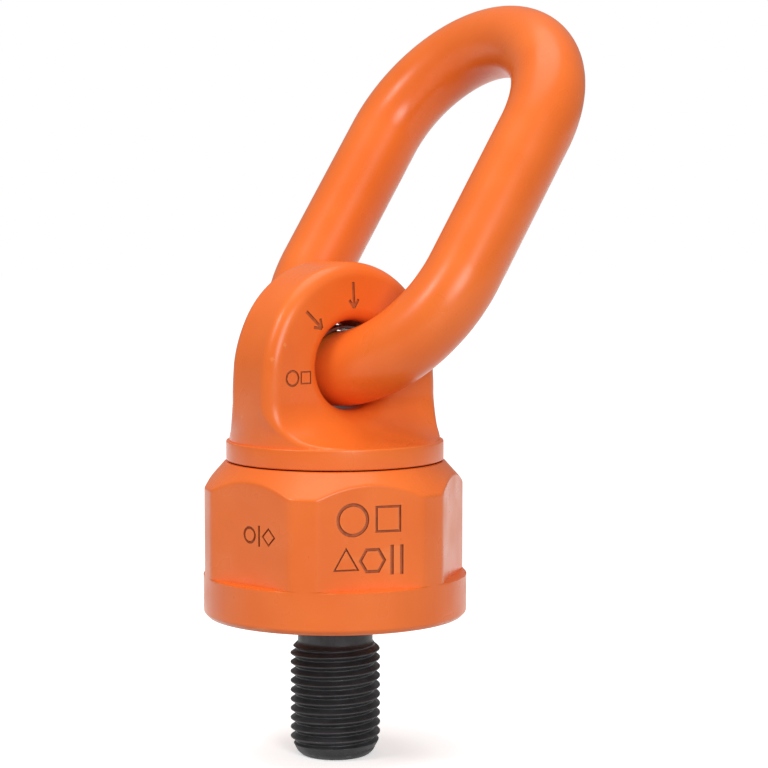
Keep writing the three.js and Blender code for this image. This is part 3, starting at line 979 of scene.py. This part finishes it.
def eye_body(sizes):
    """The skin of the eye: facets from a grid, then drawn exactly onto the surface."""
    low = np.array([-sizes.shank - 2, -sizes.shank - 2, sizes.collar_top - 3])
    high = np.array([sizes.shank + 2, sizes.shank + 2, sizes.eye_height + sizes.eye + 2])
    counts = ((high - low) / sizes.grain).astype(int)
    axes = [low[i] + sizes.grain * np.arange(counts[i]) for i in range(3)]
    x, y, z = np.meshgrid(*axes, indexing="ij")
    limit = 3 * sizes.grain
    foot = sizes.collar_top - 0.8
    field = np.maximum(head_distance(x, y, z, sizes), foot - z)
    field = np.clip(field, -limit, limit)
    grid = openvdb.FloatGrid(limit)
    grid.copyFromArray(field.astype(np.float32))
    points, quads = grid.convertToQuads()
    points = low + points.astype(float) * sizes.grain
    step = 0.02
    for _ in range(3):
        here = head_distance(*points.T, sizes)
        slope = np.stack(
            [
                head_distance(*(points + step * axis).T, sizes)
                - head_distance(*(points - step * axis).T, sizes)
                for axis in np.eye(3)
            ],
            -1,
        ) / (2 * step)
        size = np.maximum((slope**2).sum(1), 0.25)
        shown = points[:, 2] > foot + sizes.grain
        points -= (shown * np.clip(here / size, -0.3, 0.3))[:, None] * slope
    return points, quads.tolist()


def collar_outline(sizes, bearing):
    """Trunnion with its two races, and the collar."""
    groove = bearing.lock_ball + RUNNING_GAP
    side = math.pi - math.acos((bearing.lock_pitch - sizes.trunnion) / groove)
    race = bearing.upper_ball + RUNNING_GAP
    low = math.asin((sizes.collar_foot - bearing.upper_height) / race)
    edge, foot = 0.45, 1.0
    return [
        (0, sizes.trunnion_foot),
        (sizes.trunnion - foot, sizes.trunnion_foot),
        (sizes.trunnion, sizes.trunnion_foot + foot),
        *arc((bearing.lock_pitch, bearing.lock_height), groove, TAU - side, side, 2 * HIDDEN_STEPS),
        (sizes.trunnion, sizes.collar_foot),
        *arc((bearing.upper_pitch, bearing.upper_height), race, math.pi - low, low, HIDDEN_STEPS),
        *arc((sizes.collar - edge, sizes.collar_foot + edge), edge, -math.pi / 2, 0, 4),
        *arc((sizes.collar - edge, sizes.collar_top - edge), edge, 0, math.pi / 2, 4),
        (0, sizes.collar_top),
    ]


def pocket_tool(sizes):
    """The cutter of the spring pocket in the roof of the hole."""
    start, end = math.pi / 2 - sizes.pocket_arc, math.pi / 2 + sizes.pocket_arc
    centre = (0, sizes.eye_height)
    outline = arc(centre, sizes.pocket, start, end, 40)
    outline += arc(centre, sizes.hole - 1.5, end, start, 30)
    rings = [[(x, y, z) for x, z in outline] for y in (-sizes.pocket_half, sizes.pocket_half)]
    return mesh_object("pocket_tool", *loft(rings))


def eye_marks(sizes):
    """Two pointer marks aimed at the hole, and a small ring and square beside it."""
    marks = []
    for turn in (math.radians(48), math.radians(3)):
        out = np.array([-math.sin(turn), math.cos(turn)])
        side = np.array([out[1], -out[0]])
        middle = np.array([0, sizes.eye_height])
        tip, tail = middle + out * 15.2, middle + out * 22.0
        marks.append(ribbon([tail, tip], 0.9, 0.5))
        for sign in (1, -1):
            marks.append(ribbon([tip + out * 2.2 + side * sign * 1.5, tip], 0.8, 0.5))
    marks.append(ribbon(ring_path((-20.9, 64.2), 1.9, 24), 0.6, 0.5, closed=True))
    marks.append(ribbon(ring_path((-16.6, 64.2), 2.1, 4, math.pi / 4), 0.6, 0.5, closed=True))
    return [
        on_face([mark], (0, -sizes.half_thickness, 0), (1, 0, 0), (0, -1, 0)) for mark in marks
    ]


class HOIST_OT_head(bpy.types.Operator):
    """Builds the forged head: eye, sweep, collar and trunnion"""

    bl_idname = "hoist.head"
    bl_label = "Eye Head"

    def execute(self, context):
        sizes, bearing = settings().head, settings().bearing
        slot = "orange_powder_coat"
        made = mesh_object("forged_eye_head", *eye_body(sizes), slot)
        collar = mesh_object("collar_tool", *turned(collar_outline(sizes, bearing), 160))
        carve(made, [collar], "UNION")
        carve(made, [pocket_tool(sizes)])
        carve(made, eye_marks(sizes), finish_of="TRANSFER")
        shade(made, 40.0)
        place_piece(made, "head", slot, "eye_head")
        return {"FINISHED"}


def spring_outline(foot, middle, thickness, roll):
    """Outline of a bowed strip with a rolled end each side."""
    across, down = foot
    rise = middle - down
    bow = (across**2 + rise**2) / (2 * rise)
    reach = math.asin(across / bow)
    over = roll / bow
    angles = np.linspace(-reach - over, reach + over, 121)
    end = np.minimum(np.abs(angles - reach), np.abs(angles + reach)) * bow
    inside = np.abs(angles) <= reach
    half = np.sqrt(np.clip(roll**2 - end**2, 0, None))
    half = np.maximum(half, np.where(inside, thickness / 2, 0.02))
    upper = np.stack([(bow + half) * np.sin(angles), (bow + half) * np.cos(angles)], -1)
    lower = np.stack([(bow - half) * np.sin(angles), (bow - half) * np.cos(angles)], -1)
    return upper + (0, middle - bow), lower + (0, middle - bow)


class HOIST_OT_spring(bpy.types.Operator):
    """Builds the bowed clamp spring in the roof of the eye hole"""

    bl_idname = "hoist.spring"
    bl_label = "Clamp Spring"

    def execute(self, context):
        sizes = settings().head
        half_width, edge, thickness, roll = 4.5, 0.2, 0.9, 0.9
        foot, middle = (10.4, 5.6), 9.95  # from the hole's axis
        stations = [(-half_width, edge), (-half_width + edge, 0)]
        stations += [(half_width - edge, 0), (half_width, edge)]
        rings = []
        for y, inset in stations:
            upper, lower = spring_outline(foot, middle, thickness - 1.2 * inset, roll - inset)
            outline = np.concatenate([upper, lower[::-1]])
            rings.append([(x, y, z + sizes.eye_height) for x, z in outline])
        made = mesh_object("bowed_clamp_spring", *loft(rings), "spring_steel")
        place_piece(made, "head", "spring_steel", "clamp_spring")
        return {"FINISHED"}


# ---- Link ---------------------------------------------------------------------------------------


def link_tree(finish):
    """Sweeps a round bar along an oblong, then leans it over at the pivot."""
    lengths = ["Bar radius", "Width", "Straight", "Lean"]
    lengths += ["Pivot across", "Pivot along", "Pivot height"]
    tree, given = node_group("bent_link", [(title, "Float") for title in lengths])
    bend = math_node(tree, "MULTIPLY", given["Width"], 0.5)
    path = add_node(
        tree, "GeometryNodeCurvePrimitiveCircle", [("Resolution", 192), ("Radius", bend)]
    )
    where = add_node(tree, "GeometryNodeInputPosition").outputs[0]
    x, y, _ = add_node(tree, "ShaderNodeSeparateXYZ", [(0, where)]).outputs
    steep = math_node(tree, "MAXIMUM", math_node(tree, "MULTIPLY", y, 1e4), -1.0)
    side = math_node(tree, "MINIMUM", steep, 1.0)
    reach = math_node(tree, "MULTIPLY", given["Straight"], 0.5)
    shift = math_node(tree, "MULTIPLY", side, reach)
    middle = math_node(tree, "ADD", bend, reach)
    rise = math_node(tree, "ADD", middle, math_node(tree, "ADD", y, shift))
    oblong = add_node(tree, "ShaderNodeCombineXYZ", [(1, x), (2, rise)]).outputs[0]
    moved = add_node(
        tree, "GeometryNodeSetPosition", [("Geometry", path.outputs["Curve"]), ("Position", oblong)]
    )
    section = add_node(
        tree,
        "GeometryNodeCurvePrimitiveCircle",
        [("Resolution", 64), ("Radius", given["Bar radius"])],
    )
    bar = add_node(
        tree,
        "GeometryNodeCurveToMesh",
        [("Curve", moved.outputs[0]), ("Profile Curve", section.outputs["Curve"])],
    )
    lean = add_node(tree, "ShaderNodeCombineXYZ", [(1, given["Lean"])]).outputs[0]
    pivot = [(axis, given[title]) for axis, title in enumerate(lengths[4:])]
    lift = add_node(tree, "ShaderNodeCombineXYZ", pivot).outputs[0]
    leaned = add_node(
        tree,
        "GeometryNodeTransform",
        [("Geometry", bar.outputs[0]), ("Translation", lift), ("Rotation", lean)],
    )
    close_tree(tree, leaned.outputs[0], finish)
    return tree


def bare_object(name):
    made = bpy.data.objects.new(name, bpy.data.meshes.new(name))
    bpy.context.scene.collection.objects.link(made)
    return made


class HOIST_OT_link(bpy.types.Operator):
    """Bends the round bar of the lifting link"""

    bl_idname = "hoist.link"
    bl_label = "Lifting Link"

    def execute(self, context):
        sizes = settings().link
        slot = "orange_powder_coat"
        made = run_tree(
            bare_object("bent_lifting_link"),
            link_tree(finish_for(slot)),
            {
                "Bar radius": sizes.bar * MM,
                "Width": sizes.width * MM,
                "Straight": sizes.straight * MM,
                "Lean": sizes.lean,
                "Pivot across": sizes.across * MM,
                "Pivot along": sizes.along * MM,
                "Pivot height": sizes.pivot * MM,
            },
        )
        place_piece(made, "link", slot, "lifting_link")
        return {"FINISHED"}


# ---- Bearing rows -------------------------------------------------------------------------------


def row_tree(name, finish):
    """A ring of equal balls, half a step round from +X."""
    lengths = [(title, "Float") for title in ("Pitch radius", "Ball radius", "Height")]
    tree, given = node_group(name, [("Count", "Int"), *lengths])
    circle = add_node(
        tree,
        "GeometryNodeMeshCircle",
        [("Vertices", given["Count"]), ("Radius", given["Pitch radius"])],
    )
    ball = add_node(
        tree, "GeometryNodeMeshIcoSphere", [("Radius", given["Ball radius"]), ("Subdivisions", 4)]
    )
    row = add_node(
        tree,
        "GeometryNodeInstanceOnPoints",
        [("Points", circle.outputs[0]), ("Instance", ball.outputs[0])],
    )
    half_step = math_node(tree, "DIVIDE", math.pi, given["Count"])
    turn = add_node(tree, "ShaderNodeCombineXYZ", [(2, half_step)]).outputs[0]
    lift = add_node(tree, "ShaderNodeCombineXYZ", [(2, given["Height"])]).outputs[0]
    placed = add_node(
        tree,
        "GeometryNodeTransform",
        [("Geometry", row.outputs[0]), ("Translation", lift), ("Rotation", turn)],
    )
    close_tree(tree, placed.outputs[0], finish)
    return tree


class HOIST_OT_bearing(bpy.types.Operator):
    """Builds both ball rows and the brass cage"""

    bl_idname = "hoist.bearing"
    bl_label = "Ball Bearing"

    def execute(self, context):
        sizes = settings().bearing
        rows = (
            ("upper", sizes.upper_count, sizes.upper_pitch, sizes.upper_ball, sizes.upper_height),
            ("locking", sizes.lock_count, sizes.lock_pitch, sizes.lock_ball, sizes.lock_height),
        )
        for name, count, pitch, radius, height in rows:
            made = run_tree(
                bare_object(f"{name}_ball_set"),
                row_tree(f"{name}_ball_row", finish_for("bearing_steel")),
                {
                    "Count": count,
                    "Pitch radius": pitch * MM,
                    "Ball radius": radius * MM,
                    "Height": height * MM,
                },
            )
            nodes = [f"{name}_ball_{i:02d}" for i in range(1, count + 1)]
            place_piece(made, f"{name}_ball_row", "bearing_steel", *nodes)
        self.cage(sizes)
        return {"FINISHED"}

    def cage(self, sizes):
        low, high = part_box("upper_ball_cage")
        inner = settings().head.trunnion + 1
        outer, z0, z1 = high.x / MM, low.z / MM, high.z / MM
        section = rounded([(inner, z0), (outer, z0), (outer, z1), (inner, z1)], 0.3)
        made = mesh_object("windowed_brass_cage", *turned(section, 180), "brass")
        tools = []
        for i in range(sizes.upper_count):
            turn = (i + 0.5) * TAU / sizes.upper_count
            x, y = sizes.upper_pitch * math.cos(turn), sizes.upper_pitch * math.sin(turn)
            tools.append(drilling(sizes.upper_ball + RUNNING_GAP, z0 - 1, z1 + 1, x, y))
        carve(made, tools)
        shade(made)
        place_piece(made, "upper_ball_row", "brass", "upper_ball_cage")


# ---- Stage --------------------------------------------------------------------------------------


def soft_light(name, place, target, size, power):
    lamp = bpy.data.lights.new(name, "AREA")
    lamp.shape, lamp.size, lamp.energy = "DISK", size, power
    made = bpy.data.objects.new(name, lamp)
    bpy.context.scene.collection.objects.link(made)
    made.location = place
    made.rotation_euler = (Vector(target) - Vector(place)).to_track_quat("-Z", "Y").to_euler()


def soft_sun(name, strength, spread_angle):
    """Broad light from straight above, the same all over the floor."""
    lamp = bpy.data.lights.new(name, "SUN")
    lamp.energy, lamp.angle = strength, spread_angle
    bpy.context.scene.collection.objects.link(bpy.data.objects.new(name, lamp))


def pale_floor(height):
    """A wide round floor under the stud."""
    rings = [ring_path((0, 0), radius, 96) for radius in (4000.0, 1.0)]
    points = np.array([[(x, y, height) for x, y in ring] for ring in rings])
    flat, faces = loft(points)
    made = mesh_object("floor", flat, faces[:-2] + [faces[-1]])
    material, tree, place = finish_base("pale_studio_floor")
    tone = blend_colours(tree, noise(tree, place, 400.0), linear("F4F4F4"), linear("FFFFFF"))
    look = [("Base Color", tone), ("Roughness", 0.9), ("Specular IOR Level", 0.2)]
    glow = [("Emission Color", (1, 1, 1, 1)), ("Emission Strength", 0.4)]
    surface(tree, look + glow)
    made.data.materials.append(material)
    made.visible_diffuse = False


class HOIST_OT_stage(bpy.types.Operator):
    """Adds the floor, the soft lights and the camera"""

    bl_idname = "hoist.stage"
    bl_label = "Stage"

    def execute(self, context):
        scene = context.scene
        scene.view_settings.view_transform = "Standard"
        pale_floor(-settings().stud.length)
        self.sky(scene)
        middle = (0, 0, 0.05)
        soft_light("front", (-0.4, -1.05, 0.45), middle, 0.5, 7.0)
        soft_light("upper_left", (-0.85, 0.05, 0.8), middle, 0.28, 3.5)
        soft_sun("overhead", 1.4, math.radians(50))
        self.camera(scene)
        return {"FINISHED"}

    def sky(self, scene):
        world = bpy.data.worlds.new("white_studio")
        world.use_nodes = True
        tree = world.node_tree
        tree.nodes.clear()
        seen = add_node(tree, "ShaderNodeLightPath").outputs["Is Camera Ray"]
        strength = spread(tree, seen, 0.35, 1.0, 0.0, 1.0)
        sky = add_node(
            tree, "ShaderNodeBackground", [("Color", (1, 1, 1, 1)), ("Strength", strength)]
        )
        add_node(tree, "ShaderNodeOutputWorld", [("Surface", sky.outputs[0])])
        scene.world = world

    def camera(self, scene):
        azimuth, distance, height = math.radians(-37.5), 0.6115, 0.1093
        yaw, pitch = math.radians(1.22), math.radians(4.5)
        lens = bpy.data.cameras.new("camera")
        lens.sensor_width, lens.lens = 36.0, 108.5
        lens.clip_start, lens.clip_end = 0.01, 20.0
        made = bpy.data.objects.new("camera", lens)
        scene.collection.objects.link(made)
        made.location = (math.sin(azimuth) * distance, -math.cos(azimuth) * distance, height)
        heading = azimuth - yaw
        ahead = Vector(
            (
                -math.sin(heading) * math.cos(pitch),
                math.cos(heading) * math.cos(pitch),
                -math.sin(pitch),
            )
        )
        made.rotation_euler = ahead.to_track_quat("-Z", "Y").to_euler()
        scene.camera = made


class HOIST_PT_panel(bpy.types.Panel):
    """Lists the pieces of the hoist ring"""

    bl_idname = "HOIST_PT_panel"
    bl_label = "Swivel Hoist Ring"
    bl_space_type = "VIEW_3D"
    bl_region_type = "UI"
    bl_category = "Hoist Ring"

    def draw(self, context):
        for step in STEPS:
            self.layout.operator(step.bl_idname)
        for group in ("housing", "bearing", "head", "link", "stud", "colours"):
            sizes = getattr(context.scene.hoist_ring, group)
            box = self.layout.box()
            box.label(text=group.title())
            for name in sizes.__annotations__:
                box.prop(sizes, name)


STEPS = (
    HOIST_OT_housing,
    HOIST_OT_fasteners,
    HOIST_OT_seal,
    HOIST_OT_stud,
    HOIST_OT_head,
    HOIST_OT_spring,
    HOIST_OT_link,
    HOIST_OT_bearing,
    HOIST_OT_stage,
)
CLASSES = (
    HousingSizes,
    BearingSizes,
    HeadSizes,
    LinkSizes,
    StudSizes,
    FinishColours,
    HoistRingSettings,
    *STEPS,
    HOIST_PT_panel,
)


def register():
    for item in CLASSES:
        bpy.utils.register_class(item)
    bpy.types.Scene.hoist_ring = PointerProperty(type=HoistRingSettings)


def unregister():
    del bpy.types.Scene.hoist_ring
    for item in reversed(CLASSES):
        bpy.utils.unregister_class(item)


def main():
    register()
    for step in STEPS:
        group, name = step.bl_idname.split(".")
        getattr(getattr(bpy.ops, group), name)()


if __name__ == "__main__":
    main()
